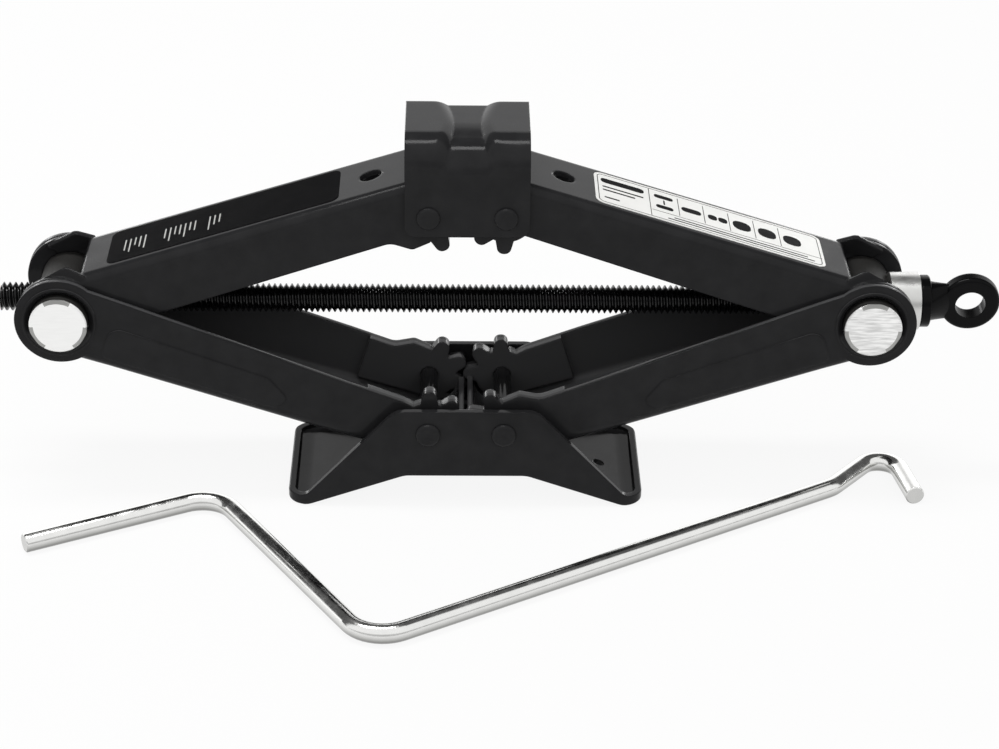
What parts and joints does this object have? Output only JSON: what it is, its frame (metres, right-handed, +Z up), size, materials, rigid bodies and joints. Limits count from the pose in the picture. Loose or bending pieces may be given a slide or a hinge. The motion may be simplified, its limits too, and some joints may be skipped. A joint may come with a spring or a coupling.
{
  "type": "scissor jack",
  "caption": "Scissor jack with pressed channel arms geared at the base and saddle, a lead screw between trunnions, and a loose hooked crank.",
  "frame": {"origin": "on the floor under the middle of the base, midway between the two base pins", "axes": "+X along the lead screw towards its eye, +Y away from the side where the crank lies, +Z up"},
  "size_m": [0.4421, 0.1854, 0.1717],
  "materials": {
    "black_paint": "satin black powder coat",
    "trunnion_steel": "turned, zinc bright",
    "screw_black": "oiled gloss black",
    "bearing_steel": "bright",
    "crank_steel": "bright drawn rod",
    "label_black": "blank film",
    "label_white": "blank film"
  },
  "bodies": {
    "base": {"base_plate": "black_paint", "base_pin_left": "black_paint", "base_pin_right": "black_paint"},
    "lower_left": {"lower_arm_left": "black_paint"},
    "lower_right": {"lower_arm_right": "black_paint"},
    "upper_left": {"upper_arm_left": "black_paint", "label_left": "label_black"},
    "upper_right": {"upper_arm_right": "black_paint", "label_right": "label_white"},
    "saddle": {"saddle": "black_paint", "saddle_pin_left": "black_paint", "saddle_pin_right": "black_paint"},
    "nut": {"trunnion_nut": "trunnion_steel"},
    "block": {"trunnion_block": "trunnion_steel", "bearing_sleeve": "bearing_steel", "thrust_race_fixed": "bearing_steel"},
    "balls": {"thrust_balls": "bearing_steel"},
    "screw": {"lead_screw": "screw_black", "screw_eye": "screw_black", "thrust_race_turning": "bearing_steel"},
    "crank": {"crank_handle": "crank_steel"}
  },
  "joints": [
    {"name": "lift", "type": "hinge", "parent": "base", "child": "lower_left", "pos_m": [-0.0167, 0, 0.0362], "axis": [0, 1, 0], "range_deg": [-12.7, 55.2]},
    {"name": "lower_right_swing", "type": "hinge", "parent": "base", "child": "lower_right", "pos_m": [0.0167, 0, 0.0362], "axis": [0, -1, 0], "range_deg": [-12.7, 55.2]},
    {"name": "nut_level", "type": "hinge", "parent": "lower_left", "child": "nut", "pos_m": [-0.17701, 0, 0.08644], "axis": [0, -1, 0], "range_deg": [-12.7, 55.2]},
    {"name": "block_level", "type": "hinge", "parent": "lower_right", "child": "block", "pos_m": [0.17701, 0, 0.08644], "axis": [0, 1, 0], "range_deg": [-12.7, 55.2]},
    {"name": "upper_left_swing", "type": "hinge", "parent": "lower_left", "child": "upper_left", "pos_m": [-0.17701, 0, 0.08644], "axis": [0, -1, 0], "range_deg": [-25.4, 110.4]},
    {"name": "upper_right_swing", "type": "hinge", "parent": "lower_right", "child": "upper_right", "pos_m": [0.17701, 0, 0.08644], "axis": [0, 1, 0], "range_deg": [-25.4, 110.4]},
    {"name": "saddle_level", "type": "hinge", "parent": "upper_left", "child": "saddle", "pos_m": [-0.0167, 0, 0.13668], "axis": [0, 1, 0], "range_deg": [-12.7, 55.2]},
    {"name": "screw_spin", "type": "hinge", "parent": "block", "child": "screw", "pos_m": [0.17701, 0, 0.08644], "axis": [1, 0, 0], "continuous": true},
    {"name": "ball_roll", "type": "hinge", "parent": "block", "child": "balls", "pos_m": [0.17701, 0, 0.08644], "axis": [1, 0, 0], "continuous": true},
    {"name": "crank_pick_up", "type": "slide", "parent": "base", "child": "crank", "axis": [0, -0.8, 0.6], "range_m": [0, 0.25]}
  ],
  "couplings": [
    {"joint": "lower_right_swing", "follows": "lift", "ratio": 1},
    {"joint": "nut_level", "follows": "lift", "ratio": 1},
    {"joint": "block_level", "follows": "lift", "ratio": 1},
    {"joint": "upper_left_swing", "follows": "lift", "ratio": 2},
    {"joint": "upper_right_swing", "follows": "lift", "ratio": 2},
    {"joint": "saddle_level", "follows": "lift", "ratio": 1},
    {"joint": "ball_roll", "follows": "screw_spin", "ratio": 0.5}
  ]
}
